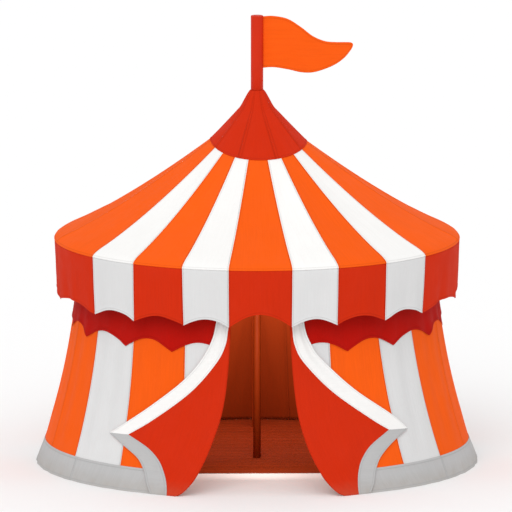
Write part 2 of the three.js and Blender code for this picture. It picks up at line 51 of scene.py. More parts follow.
CAMERA_DISTANCE = 300.0
CAMERA_LENS = 1055.0  # millimetres, which gives 20 mm of the tent to a pixel
CAMERA_ELEVATION = math.radians(9.5)
CAMERA_AZIMUTH = math.radians(-1.0)
CAMERA_AIM = (-0.02, 0.0, 4.122)

camera_data = bpy.data.cameras.new("camera")
camera_data.lens = CAMERA_LENS
camera_data.clip_start = 10.0
camera_data.clip_end = 2000.0
camera = bpy.data.objects.new("camera", camera_data)
camera.location = (
    CAMERA_AIM[0] + CAMERA_DISTANCE * math.sin(CAMERA_AZIMUTH) * math.cos(CAMERA_ELEVATION),
    CAMERA_AIM[1] - CAMERA_DISTANCE * math.cos(CAMERA_AZIMUTH) * math.cos(CAMERA_ELEVATION),
    CAMERA_AIM[2] + CAMERA_DISTANCE * math.sin(CAMERA_ELEVATION),
)
camera.rotation_euler = (math.pi / 2 - CAMERA_ELEVATION, 0.0, CAMERA_AZIMUTH)
bpy.context.scene.collection.objects.link(camera)
bpy.context.scene.camera = camera

# Sizes that the solids give


def foot_of(node):
    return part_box(node)[0][2]


def top_of(node):
    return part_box(node)[1][2]


def front_of(node):
    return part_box(node)[0][1]


def back_of(node):
    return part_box(node)[1][1]


EAVE_RADIUS = back_of("valance")
EAVE_HEIGHT = foot_of("roof_gore_01")
ROOF_TOP = top_of("roof_gore_01")
CAP_TOP = top_of("crown_cap")
VALANCE_FOOT = foot_of("valance")
INNER_VALANCE_FOOT = foot_of("inner_valance")
INNER_VALANCE_TOP = top_of("inner_valance")
HEM_HEIGHT = top_of("hem_band")
FLAP_TOP = top_of("door_flap_left")
MAST_RADIUS = back_of("flag_mast")
MAST_FOOT = foot_of("flag_mast")
MAST_TOP = top_of("flag_mast")
KING_POLE_RADIUS = back_of("king_pole")
KING_POLE_TOP = top_of("king_pole")
FLOOR_RADIUS = back_of("ring_floor")
FLOOR_FRONT = front_of("ring_floor")
FLOOR_TOP = top_of("ring_floor")

# Their shapes, repeated from the part's source

TURN = 2 * math.pi
GORES = 20
FRONT_SEAMS = np.radians([8.95, 22.4, 38.2, 54.5, 82.0])
SIDE_GORES = (5, 15)
SHOULDER = [(EAVE_RADIUS, EAVE_HEIGHT), (EAVE_RADIUS, 4.575), (3.713, 4.721)]  # radius, height
SLOPE = [(3.713, 4.721), (2.279, 5.411), (0.33, ROOF_TOP)]
THROAT = [(0.36, 7.118), (0.31, 7.193), (0.184, 7.426), (0.132, CAP_TOP)]
WALL_TOP = 4.73
WAIST_RADIUS = 3.56
WALL_SPREAD = 0.84
FLARE_HEIGHT = 4.56
DOOR_DEGREES = 9.9
VALANCE_HEIGHTS = [VALANCE_FOOT, 3.93, EAVE_HEIGHT]
VALANCE_RADII = [3.99, 4.026, EAVE_RADIUS]
SCALLOP_DEPTH = 0.15
DOOR_SCALLOP_DEPTH = 0.265
INNER_SCALLOPS = 18
INNER_SCALLOP_DEPTH = 0.215
FLAP_BEND = 0.042
CANVAS = 0.016  # thickness of the cloth in the solids

# Cloth as it is shown

CLOTH = 0.004  # thickness
FINE_CLOTH = 0.003
CAP_CLOTH = 0.008
SEAM_HALF = 0.025  # half the width of a sewn seam
SEAM_STEP = 0.031  # from a seam to where its edge has come down to the single cloth
HEM_WIDTH = 0.045
HEM_STEP = 0.051
DOUBLED_RISE = 0.003  # of the doubled cloth of a seam or a hem
STRIP_SHIFT = 8.0  # between the cloth places of neighbouring strips, so that no pattern runs across
FAR = 9.0  # a distance from a seam where there is none

# Colours of the drawing, as red, green and blue from 0 to 255

ORANGE = (255, 97, 16)
WHITE = (252, 251, 249)
RED = (217, 47, 10)
# the valance's shadow on the wall, painted as a dark red sheet
VALANCE_SHADOW_RED = (175, 13, 3)
PALE_GREY = (225, 225, 225)
HEM_GREY = (191, 191, 191)
# the tent's inside in shade, seen through the doorway: the red lining's painted shade, not a colour of
# its own
INSIDE_SHADE_BROWN = (138, 46, 8)
DUST = (146, 124, 98)

# Light, and how much of each colour the cloth gives back under it

SKY = 0.93
SUN = 0.9
SUN_SPREAD = math.radians(40)
SUN_TURN = (math.radians(50), 0.0, math.radians(-12))
# Lamps under the roof: name, place, tilt back from straight down in degrees, size, and watts
LAMPS = [
    ("inside_back", (0.0, 0.9, 4.45), 66.0, (4.0, 0.8), 260.0),
    ("inside_front", (0.0, -2.9, 4.3), 58.0, (3.4, 0.5), 120.0),
    ("inside_pole", (0.0, -2.4, 2.1), 90.0, (0.5, 2.6), 50.0),
]
LAMP_COLOUR = (1.0, 0.93, 0.86)
ORANGE_LIGHT = 0.9
WHITE_LIGHT = 0.91
RED_LIGHT = 0.87
GREY_LIGHT = 0.92
VALANCE_SHADOW_LIGHT = 1.13
HEM_LIGHT = 0.93
LINING_LIGHT = 1.13
FLOOR_LIGHT = 0.95


def linear(colour, light=1.0):
    """The sRGB colour as the shader's own linear values, times the light."""
    parts = np.array(colour[:3], float) / 255
    parts = np.where(parts > 0.04045, ((parts + 0.055) / 1.055) ** 2.4, parts / 12.92)
    return (*np.clip(parts * light, 0, 1), 1.0)


def times(colour, factor):
    return (*(min(1.0, factor * part) for part in colour[:3]), 1.0)


# Materials

SHEEN = 0.08
SHEEN_ROUGHNESS = 0.6
EDGE_SOFTNESS = 0.003  # of the drawn edge of a doubled cloth
EDGE_LINE_HALF = 0.002  # half the width of the darker line along it, painted shade of the doubled cloth's step with some dirt
EDGE_LINE_SOFTNESS = 0.012
WEAVE = 130.0  # of the wave texture, which makes a thread every 2.4 mm
NOISE_RANGE = (0.3, 0.7)  # of most of the noise texture's values
STITCH = 0.012  # from one stitch to the next
STITCH_PART = 0.66  # of that length which shows
STITCH_INSET = 0.007  # from the edge of the doubled cloth
STITCH_HALF = 0.001
# Shades: how strongly each shows, and its tone against the cloth's or the paint's own
DOUBLED_SHADE = (0.35, 0.93)
# the line along the doubled cloth's edge: painted shade of its step, with some dirt
EDGE_SHADE_AND_DIRT = (0.5, 0.72)
STITCH_SHADE = (0.7, 0.6)
GRAIN_SHADE = (0.4, 0.7)
DIRT_HEIGHT = 0.3
BOARD_WIDTH = 0.18
NOSING = 0.03  # how far the first board stands out


class Tree:
    """A material's node tree, with short ways to add and join nodes."""

    def __init__(self, name, roughness, specular, sheen=None):
        self.material = bpy.data.materials.new(name)
        self.material.use_nodes = True
        self.tree = self.material.node_tree
        self.shader = self.tree.nodes["Principled BSDF"]
        self.shader.inputs["Roughness"].default_value = roughness
        self.shader.inputs["Specular IOR Level"].default_value = specular
        if sheen:
            self.shader.inputs["Sheen Weight"].default_value = SHEEN
            self.shader.inputs["Sheen Roughness"].default_value = SHEEN_ROUGHNESS
            self.shader.inputs["Sheen Tint"].default_value = sheen

    def node(self, kind, inputs=None, **settings):
        made = self.tree.nodes.new(kind)
        for key, value in settings.items():
            setattr(made, key, value)
        for key, value in (inputs or {}).items():
            self.put(made.inputs[key], value)
        return made

    def put(self, socket, value):
        if isinstance(value, bpy.types.NodeSocket):
            self.tree.links.new(value, socket)
        else:
            socket.default_value = value

    def sum(self, operation, first, second=0.0, third=0.0):
        made = self.node("ShaderNodeMath", {0: first, 1: second, 2: third}, operation=operation)
        return made.outputs[0]

    def parts(self, vector):
        return self.node("ShaderNodeSeparateXYZ", {0: vector}).outputs

    def place(self):
        return self.node("ShaderNodeTexCoord").outputs["Object"]

    def map(self, name):
        return self.node("ShaderNodeUVMap", uv_map=name).outputs[0]

    def ramp(self, value, low, high, at_low, at_high):
        made = self.node("ShaderNodeMapRange", {0: value, 1: low, 2: high, 3: at_low, 4: at_high})
        return made.outputs[0]

    def band(self, value, middle, half_width, softness):
        """One where value is within half_width of middle, and zero beyond the softness outside."""
        away = self.sum("ABSOLUTE", self.sum("SUBTRACT", value, middle))
        return self.ramp(away, half_width, half_width + softness, 1.0, 0.0)

    def dashes(self, along):
        """One on each stitch of a row, and zero between them."""
        return self.sum("LESS_THAN", self.sum("FRACT", self.sum("DIVIDE", along, STITCH)), STITCH_PART)

    def mix(self, factor, first, second):
        made = self.node("ShaderNodeMix", data_type="RGBA")
        self.put(made.inputs[0], factor)
        self.put(made.inputs[6], first)
        self.put(made.inputs[7], second)
        return made.outputs[2]

    def shaded(self, tone, base, where, shade):
        """The tone, darker where the value is one."""
        strength, darker = shade
        return self.mix(self.sum("MULTIPLY", where, strength), tone, times(base, darker))

    def noise(self, vector, scale, detail=3.0, low=0.0, high=1.0):
        made = self.node("ShaderNodeTexNoise", {"Vector": vector, "Scale": scale, "Detail": detail})
        return self.ramp(made.outputs[0], *NOISE_RANGE, low, high)

    def random(self, number):
        """A value from 0 to 1 that is the same wherever the number is."""
        return self.node("ShaderNodeTexWhiteNoise", {"W": number}, noise_dimensions="1D").outputs[0]

    def stretched(self, vector, scale):
        return self.node("ShaderNodeMapping", {"Vector": vector, "Scale": scale}).outputs[0]

    def threads(self, vector, direction):
        inputs = {"Vector": vector, "Scale": WEAVE}
        return self.node("ShaderNodeTexWave", inputs, bands_direction=direction).outputs[1]

    def bump(self, height, distance, strength, normal=None):
        inputs = {"Height": height, "Distance": distance, "Strength": strength}
        made = self.node("ShaderNodeBump", inputs)
        if normal is not None:
            self.put(made.inputs["Normal"], normal)
        return made.outputs[0]

    def finish(self, colour, normal=None, roughness=None):
        self.put(self.shader.inputs["Base Color"], colour)
        if normal is not None:
            self.put(self.shader.inputs["Normal"], normal)
        if roughness is not None:
            self.put(self.shader.inputs["Roughness"], roughness)
        return self.material


def canvas(name, colour, light, foot_dirt=0.0, creases=0.005, thread_shade=0.8):
    """Heavy woven canvas, sewn from strips. The map named seams holds the distances from the nearest
    seam and from the nearest free edge, and the map named lay the place on the cut cloth, in metres."""
    base = linear(colour, light)
    t = Tree(name, roughness=0.8, specular=0.1, sheen=base)
    from_seam, from_edge, _ = t.parts(t.map("seams"))
    lay = t.map("lay")
    across, along, _ = t.parts(lay)
    place = t.place()
    # Each strip is cut from its own length of cloth, which has faded a little differently.
    strip_tone = t.random(t.sum("ROUND", t.sum("DIVIDE", across, STRIP_SHIFT)))
    tone = t.mix(strip_tone, times(base, 1.02), times(base, 0.95))
    tone = t.mix(t.noise(place, scale=0.8, detail=4.0, high=0.5), tone, times(base, 0.9))
    slubs = t.noise(t.stretched(lay, (38.0, 1.4, 1.0)), scale=1.0, detail=4.0, high=0.35)
    tone = t.mix(slubs, tone, times(base, thread_shade))
    if foot_dirt:
        low = t.ramp(t.parts(place)[2], 0.0, DIRT_HEIGHT, foot_dirt, 0.0)
        dusty = t.sum("MULTIPLY", low, t.noise(place, scale=5.0, detail=5.0, low=0.4))
        tone = t.mix(dusty, tone, linear(DUST))
    # Seams and hems: a doubled strip, a darker line along its edge in painted shade of the step with some
    # dirt, and a row of stitches along each.
    doubled = t.sum(
        "MAXIMUM",
        t.ramp(from_seam, SEAM_HALF, SEAM_HALF + EDGE_SOFTNESS, 1.0, 0.0),
        t.ramp(from_edge, HEM_WIDTH, HEM_WIDTH + EDGE_SOFTNESS, 1.0, 0.0),
    )
    edge_shade_and_dirt = t.sum(
        "MAXIMUM",
        t.band(from_seam, SEAM_HALF, EDGE_LINE_HALF, EDGE_LINE_SOFTNESS),
        t.band(from_edge, HEM_WIDTH, EDGE_LINE_HALF, EDGE_LINE_SOFTNESS),
    )
    seam_row = t.band(from_seam, SEAM_HALF - STITCH_INSET, STITCH_HALF, STITCH_HALF)
    hem_row = t.band(from_edge, HEM_WIDTH - STITCH_INSET, STITCH_HALF, STITCH_HALF)
    stitch = t.sum(
        "MAXIMUM",
        t.sum("MULTIPLY", seam_row, t.dashes(along)),
        t.sum("MULTIPLY", hem_row, t.dashes(across)),
    )
    tone = t.shaded(tone, base, doubled, DOUBLED_SHADE)
    tone = t.shaded(tone, base, edge_shade_and_dirt, EDGE_SHADE_AND_DIRT)
    tone = t.shaded(tone, base, stitch, STITCH_SHADE)
    # Relief: soft creases along the cloth, the weave, and the stitches.
    crease = t.noise(t.stretched(lay, (6.0, 0.9, 1.0)), scale=1.0)
    weave = t.sum("MULTIPLY", t.threads(lay, "X"), t.threads(lay, "Y"))
    raised = t.sum("SUBTRACT", doubled, stitch)
    normal = t.bump(crease, distance=creases, strength=0.8)
    normal = t.bump(weave, distance=0.0004, strength=0.4, normal=normal)
    normal = t.bump(raised, distance=0.0012, strength=0.8, normal=normal)
    roughness = t.noise(place, scale=3.0, detail=4.0, low=0.74, high=0.88)
    return t.finish(tone, normal, roughness)


def paint(name, colour, light):
    """Satin paint on metal, with faint brush marks, dull patches and small chips."""
    t = Tree(name, roughness=0.5, specular=0.14)
    place = t.place()
    base = linear(colour, light)
    dull = t.noise(place, scale=3.0, detail=5.0, high=0.6)
    tone = t.mix(dull, base, times(base, 0.86))
    marks = t.noise(t.stretched(place, (60.0, 60.0, 4.0)), scale=1.0)
    cells = t.node("ShaderNodeTexVoronoi", {"Vector": place, "Scale": 9.0}).outputs[0]
    spots = t.band(cells, middle=0.0, half_width=0.03, softness=0.02)
    chips = t.sum("MULTIPLY", spots, t.noise(place, scale=1.7, detail=2.0, high=0.8))
    tone = t.mix(chips, tone, times(base, 0.55))
    normal = t.bump(marks, distance=0.0006, strength=0.6)
    roughness = t.noise(place, scale=8.0, detail=4.0, low=0.44, high=0.62)
    return t.finish(tone, normal, roughness)


def boards(name, colour, light):
    """Painted floor boards with grain along X, scuffed paler where people walk."""
    t = Tree(name, roughness=0.6, specular=0.2)
    place = t.place()
    from_first = t.sum("SUBTRACT", t.parts(place)[1], FLOOR_FRONT - NOSING)
    board_tone = t.random(t.sum("FLOOR", t.sum("DIVIDE", from_first, BOARD_WIDTH)))
    base = linear(colour, light)
    grain = t.noise(t.stretched(place, (1.2, 26.0, 26.0)), scale=1.0, detail=6.0)
    tone = t.mix(board_tone, times(base, 1.08), times(base, 0.88))
    tone = t.shaded(tone, base, grain, GRAIN_SHADE)
    scuffed = t.noise(place, scale=1.1, detail=4.0, high=0.3)
    tone = t.mix(scuffed, tone, times(base, 1.25))
    normal = t.bump(grain, distance=0.0015, strength=0.7)
    roughness = t.noise(place, scale=6.0, detail=4.0, low=0.5, high=0.72)
    return t.finish(tone, normal, roughness)


PALE_THREADS = 0.88  # pale cloth shows its threads more, so their shade is weaker

orange_cloth = canvas("orange_canvas", ORANGE, ORANGE_LIGHT)
white_cloth = canvas("white_canvas", WHITE, WHITE_LIGHT, thread_shade=PALE_THREADS)
orange_wall = canvas("orange_wall_canvas", ORANGE, ORANGE_LIGHT, foot_dirt=0.1)
grey_wall = canvas("grey_wall_canvas", PALE_GREY, GREY_LIGHT, foot_dirt=0.1, thread_shade=PALE_THREADS)
# The inner faces of the roof, the wall and the hem band are painted shade: brown for the red lining in
# shadow, though the flaps show that lining red.
shaded_lining = canvas("painted_shade_lining", INSIDE_SHADE_BROWN, LINING_LIGHT)
red_cloth = canvas("red_canvas", RED, RED_LIGHT)
grey_cloth = canvas("pale_grey_canvas", PALE_GREY, GREY_LIGHT, thread_shade=PALE_THREADS)
# Painted shadow of the valance, for the sheet that lies on the wall under it.
valance_shadow_cloth = canvas("dark_red_canvas", VALANCE_SHADOW_RED, VALANCE_SHADOW_LIGHT)
hem_cloth = canvas("hem_grey_canvas", HEM_GREY, HEM_LIGHT, foot_dirt=0.35)
flap_lining = canvas("red_lining", RED, RED_LIGHT, foot_dirt=0.2)
flap_border = canvas("white_border", WHITE, WHITE_LIGHT, creases=0.003, thread_shade=PALE_THREADS)
flap_hem = canvas("flap_hem_grey", HEM_GREY, HEM_LIGHT, foot_dirt=0.35, creases=0.003)
red_paint = paint("red_paint", RED, RED_LIGHT)
# The poles, the frame and the floor boards take the same brown as the painted shade of the inside, so
# that they sink into it.
brown_paint = paint("brown_paint", INSIDE_SHADE_BROWN, LINING_LIGHT)
floor_paint = boards("brown_floor_boards", INSIDE_SHADE_BROWN, FLOOR_LIGHT)

# Mesh code


def polar(angle, radius, height):
    """Points [.., 3] from arrays of angles, radii and heights."""
    angle, radius, height = np.broadcast_arrays(angle, radius, height)
    return np.stack([radius * np.sin(angle), -radius * np.cos(angle), height], axis=-1)


def bezier(points, count):
    t = np.linspace(0, 1, count)[:, None]
    a, b, c = (np.array(p) for p in points)
    return (1 - t) ** 2 * a + 2 * t * (1 - t) * b + t**2 * c


def curve_through(points, steps):
    """A smooth line through the points, with a number of steps from each to the next."""
    p = np.array(points, float)
    p = np.vstack([p[0], p, p[-1]])
    line = []
    for k in range(1, len(p) - 2):
        t = np.linspace(0, 1, steps, endpoint=False)[:, None]
        before, start, end, after = p[k - 1 : k + 3]
        leaving, coming = 0.5 * (end - before), 0.5 * (after - start)
        cubic = 2 * start - 2 * end + leaving + coming
        square = 3 * end - 3 * start - 2 * leaving - coming
        line.append(cubic * t**3 + square * t**2 + leaving * t + start)
    line.append(p[-2][None])
    return np.vstack(line)


def lengths(points, axis):
    """How far each point of a grid is from the first one, along the lines that run this way."""
    steps = np.linalg.norm(np.diff(points, axis=axis), axis=-1)
    start = np.zeros_like(np.take(steps, [0], axis=axis))
    return np.concatenate([start, np.cumsum(steps, axis=axis)], axis=axis)


class Patch:
    """A grid of points [rows, columns, 3] that faces out where its columns run anticlockwise and its
    rows run up. With it go the distances from the nearest seam and free edge, the place on the cut
    cloth, and the number of the material."""

    def __init__(self, points, from_seam, from_edge, across, along, slot=0, wraps=False):
        rows, columns = points.shape[:2]
        values = [from_seam, from_edge, across, along]
        values = [np.broadcast_to(value, (rows, columns)) for value in values]
        self.points = points
        self.seams = np.stack(values[:2], axis=-1)
        self.lay = np.stack(values[2:], axis=-1)
        self.slots = np.broadcast_to(slot, (rows - 1, columns if wraps else columns - 1))
        self.wraps = wraps

    def turned(self):
        """The same patch with its columns in the other order, so that it faces the other way."""
        self.points = self.points[:, ::-1]
        self.seams = self.seams[:, ::-1]
        self.lay = self.lay[:, ::-1]
        self.slots = self.slots[:, ::-1]
        return self


WELD = 1e-6  # points closer than this become one


def build(name, patches, materials, replaces, thickness=CLOTH, under=0):
    """One object from its patches, given thickness towards its inner side, whose materials are those
    of the outer side moved on by under."""
    points, faces, first = [], [], 0
    for patch in patches:
        rows, columns = patch.points.shape[:2]
        number = np.arange(rows * columns).reshape(rows, columns) + first
        if patch.wraps:
            number = np.hstack([number, number[:, :1]])
        corners = [number[:-1, :-1], number[:-1, 1:], number[1:, 1:], number[1:, :-1]]
        faces.append(np.stack(corners, axis=-1).reshape(-1, 4))
        points.append(patch.points.reshape(-1, 3))
        first += rows * columns
    points, faces = np.vstack(points), np.vstack(faces)
    mesh = bpy.data.meshes.new(name)
    mesh.from_pydata(points.tolist(), [], faces.tolist())
    for material in materials:
        mesh.materials.append(material)
    slots = np.concatenate([patch.slots.reshape(-1) for patch in patches])
    mesh.polygons.foreach_set("material_index", slots.astype(np.int32))
    mesh.polygons.foreach_set("use_smooth", np.ones(len(faces), bool))
    for layer_name in ("seams", "lay"):
        values = np.vstack([getattr(patch, layer_name).reshape(-1, 2) for patch in patches])
        layer = mesh.uv_layers.new(name=layer_name)
        layer.data.foreach_set("uv", values[faces.reshape(-1)].astype(np.float32).reshape(-1))
    welded = bmesh.new()
    welded.from_mesh(mesh)
    bmesh.ops.remove_doubles(welded, verts=welded.verts, dist=WELD)
    welded.to_mesh(mesh)
    welded.free()
    piece = bpy.data.objects.new(name, mesh)
    bpy.context.scene.collection.objects.link(piece)
    if thickness:
        body = piece.modifiers.new("thickness", "SOLIDIFY")
        body.thickness = thickness
        body.offset = -1.0
        body.material_offset = under
        body.use_quality_normals = True
    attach(piece, "root")
    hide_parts(*replaces)
    return piece


# Seams around the tent: five strips each side of the doorway's, then even ones round the back.

even = GORES + 1 - 2 * len(FRONT_SEAMS)
back_seams = np.linspace(FRONT_SEAMS[-1], TURN - FRONT_SEAMS[-1], even + 1)[1:-1]
SEAM_ANGLES = np.concatenate([[-FRONT_SEAMS[0]], FRONT_SEAMS, back_seams, TURN - FRONT_SEAMS[::-1]])
PALE_GORES = np.array([k % 2 == 1 and k not in SIDE_GORES for k in range(GORES)])


SEAM_COLUMNS = [[0.0, SEAM_HALF, SEAM_STEP]]
NARROW_SHARES = [[0.0, 0.3, 0.4]]  # of a strip's width, where the seam's own columns don't fit


def strips(edges, radius, columns, wraps=False):
    """Columns of a sheet that is sewn from strips between the angles of edges, which may change with
    the row as the radius does. Returns arrays [rows, columns] of the angle, the distance from the
    nearest seam, the way across the strip from 0 to 1 and the place across the cloth, and the number
    of the strip for each column of faces."""
    radius = np.asarray(radius, float)[:, None]
    edges = [np.broadcast_to(edge, radius[:, 0].shape)[:, None] for edge in edges]
    parts, numbers = [], []
    for k, (start, end) in enumerate(zip(edges, edges[1:])):
        width = radius * (end - start)
        near = np.minimum(SEAM_COLUMNS, width * NARROW_SHARES)
        middle = near[:, 2:] + (width - 2 * near[:, 2:]) * np.linspace(0, 1, columns + 2)[None, 1:-1]
        inset = np.hstack([near, middle, width - near[:, :0:-1]])
        if k == len(edges) - 2 and not wraps:
            inset = np.hstack([inset, width])
        nearest = np.minimum(inset, width - inset)
        place = inset - width / 2 + k * STRIP_SHIFT
        parts.append([start + inset / radius, nearest, inset / width, place])
        numbers += [k] * inset.shape[1]
    angle, nearest, across, place = (np.hstack(values) for values in zip(*parts))
    return angle, nearest, across, place, np.array(numbers if wraps else numbers[:-1])


def ridge(nearest):
    """Rise of the doubled cloth of a seam."""
    return DOUBLED_RISE * np.clip((SEAM_STEP - nearest) / (SEAM_STEP - SEAM_HALF), 0, 1)


def hem_rise(from_edge):
    """Rise of the doubled cloth of a hem."""
    return DOUBLED_RISE * np.clip((HEM_STEP - from_edge) / (HEM_STEP - HEM_WIDTH), 0, 1)


def folds(angles, waves):
    """Soft folds: the sum of waves, each a height, a count round the tent and a start in turns."""
    return sum(height * np.sin(count * angles + TURN * start) for height, count, start in waves)


def outward_folds(angles, waves):
    """The same folds, moved out so that none goes inside the sheet's own radius."""
    return folds(angles, waves) + sum(height for height, _, _ in waves)


EDGE_ROW = 0.006  # from a free edge to the row beside it
HEM_ROWS = [0.0, EDGE_ROW, HEM_WIDTH, HEM_STEP]
OVER_HEM = 0.053  # from a free edge to the first row over its hem
HANGING_ROWS = 15


def hanging(top, feet):
    """Heights of the rows of a hanging cloth, from its scallops up to its top, with close rows at the
    hem, and how far each is above the free edge."""
    low = feet + OVER_HEM
    rows = low + (top - low)[None] * np.linspace(0, 1, HANGING_ROWS)[:, None]
    heights = np.vstack([feet, feet + EDGE_ROW, feet + HEM_WIDTH, rows])
    return heights, heights - feet


# Roof: one curved sheet of 20 gores, which hangs a little hollow between its seams from the cap's
# rim down to the hoop that it rests on.

CAP_REACH = 1.28
HOOP_RADIUS = 3.35
SAG_RUN = 0.7  # length over which the sag grows
SAG_SHARPNESS = 1.2
ROOF_SAG = 0.03
ROOF_COLUMNS = 10  # to a gore
SHOULDER_ROWS = 9
SLOPE_ROWS = 42
ROOF_LAP = 0.012  # how far the roof's edge comes down over the valance
LAP_RISE = 0.004
ROOF_EDGE = (EAVE_RADIUS, EAVE_HEIGHT - ROOF_LAP)
ROOF_SECTION = np.vstack([ROOF_EDGE, bezier(SHOULDER, SHOULDER_ROWS)[:-1], bezier(SLOPE, SLOPE_ROWS)])


def roof_height(radius):
    """Height of the roof's outer face on a seam."""
    return np.interp(radius, ROOF_SECTION[::-1, 0], ROOF_SECTION[::-1, 1])


def make_roof():
    radius, height = ROOF_SECTION[:, :1], ROOF_SECTION[:, 1:]
    along = lengths(ROOF_SECTION, 0)[:, None]
    tangent = np.gradient(ROOF_SECTION, along[:, 0], axis=0)
    tangent /= np.linalg.norm(tangent, axis=1)[:, None]
    columns = strips(SEAM_ANGLES, ROOF_SECTION[:, 0], ROOF_COLUMNS, wraps=True)
    angles, nearest, across, place, numbers = columns
    from_hoop = np.clip((HOOP_RADIUS - radius) / SAG_RUN, 0, 1)
    from_cap = np.clip((radius - CAP_REACH) / SAG_RUN, 0, 1)
    free = from_hoop * from_cap
    sag = ROOF_SAG * free**2 * (3 - 2 * free) * np.sin(math.pi * across) ** SAG_SHARPNESS
    lap = LAP_RISE * np.clip((2 * ROOF_LAP - along) / ROOF_LAP, 0, 1)
    rise = ridge(nearest) - sag + lap
    points = polar(angles, radius + tangent[:, 1:] * rise, height - tangent[:, :1] * rise)
    return build(
        "roof_canvas",
        [Patch(points, nearest, along, place, along, PALE_GORES[numbers], wraps=True)],
        [orange_cloth, white_cloth, shaded_lining, shaded_lining],
        replaces=[f"roof_gore_{k:02d}" for k in range(1, GORES + 1)],
        under=2,
    )


# Cap: a sewn cone over the crown, whose hemmed rim lies on the roof.

CAP_PANELS = 10
CAP_SIDE_RADIUS = 0.97
CAP_SHIFT = 0.03  # of the rim, towards the right
CAP_FRONT_REACH = 0.28  # how much further the rim reaches in front and behind
CAP_LIFT = 0.01  # of the rim's outer face over the roof
CAP_HOLLOW = 0.012
CAP_SLANT = 1.25  # along the cloth, from the rim to the throat
CAP_MIDDLE = 0.8  # radius at which the panels' widths are taken
CAP_COLUMNS = 8  # to a panel
CAP_HEM_ROWS = [0.0, 0.01, HEM_WIDTH, HEM_STEP]
CAP_ROWS = np.linspace(0.11, CAP_SLANT, 13)
CAP_OUTWARD = 0.7  # share of a rise that goes outwards, and as much upwards, on the cap's slope
THROAT_SLANT = 0.4
THROAT_STEPS = 5


def make_cap():
    seams = TURN * (np.arange(CAP_PANELS + 1) - 0.5) / CAP_PANELS
    angles, nearest, across, place, _ = strips(seams, [CAP_MIDDLE], CAP_COLUMNS, wraps=True)
    rim = CAP_SIDE_RADIUS + CAP_SHIFT * np.sin(angles) + CAP_FRONT_REACH * np.cos(angles) ** 2
    rim_height = roof_height(rim) + CAP_LIFT
    climb = np.concatenate([CAP_HEM_ROWS, CAP_ROWS])[:, None]
    part = climb / CAP_SLANT
    hollow = CAP_HOLLOW * np.sin(math.pi * part) ** 2 * np.sin(math.pi * across)
    lifted = CAP_OUTWARD * (ridge(nearest) * (1 - 0.6 * part) + hem_rise(climb) - hollow)
    radius = rim + (THROAT[0][0] - rim) * part + lifted
    height = rim_height + (THROAT[0][1] - rim_height) * part + lifted
    throat = curve_through(THROAT, THROAT_STEPS)[1:]
    around = np.ones_like(angles)
    radius = np.vstack([radius, throat[:, :1] * around])
    height = np.vstack([height, throat[:, 1:] * around])
    throat_along = CAP_SLANT + THROAT_SLANT * np.linspace(0, 1, len(throat) + 1)[1:, None]
    along = np.vstack([climb, throat_along])
    # The panels, and the distances from their seams, narrow towards the top.
    narrowing = 1 - 0.5 * np.minimum(along, 1)
    return build(
        "crown_cap_cloth",
        [Patch(polar(angles, radius, height), nearest * narrowing, along, place, along, wraps=True)],
        [red_cloth],
        replaces=["crown_cap"],
        thickness=CAP_CLOTH,
    )


# Valance: striped cloth that hangs from the eave in soft folds, to a scallop on each strip.

VALANCE_FOLDS = [(0.02, 37, 0.1), (0.012, 19, 0.3), (0.008, 61, 0.7)]
VALANCE_FOLD_GROWTH = 1.3  # a power of the way down
VALANCE_SEAMS = 0.8  # of a roof seam's rise
VALANCE_COLUMNS = 24  # to a strip


def make_valance():
    columns = strips(SEAM_ANGLES, [EAVE_RADIUS], VALANCE_COLUMNS, wraps=True)
    angles, nearest, across, place, numbers = columns
    depth = np.where(numbers == 0, DOOR_SCALLOP_DEPTH, SCALLOP_DEPTH)
    heights, above_edge = hanging(EAVE_HEIGHT, VALANCE_FOOT + depth * np.sin(math.pi * across[0]))
    fall = (EAVE_HEIGHT - heights) / (EAVE_HEIGHT - VALANCE_FOOT)
    radii = np.interp(heights, VALANCE_HEIGHTS, VALANCE_RADII)
    radii = radii + folds(angles, VALANCE_FOLDS) * fall**VALANCE_FOLD_GROWTH
    radii = radii + VALANCE_SEAMS * ridge(nearest) + hem_rise(above_edge)
    points = polar(angles, radii, heights)
    return build(
        "valance_cloth",
        [Patch(points, nearest, above_edge, place, heights, PALE_GORES[numbers], wraps=True)],
        [red_cloth, grey_cloth],
        replaces=["valance"],
    )


# Door flaps, folded back over the wall, each of one cloth with a white tape and a grey one sewn on.
# Their outlines are degrees from the doorway's middle and heights, and differ a little from side to
# side, as cloth folded by hand does.

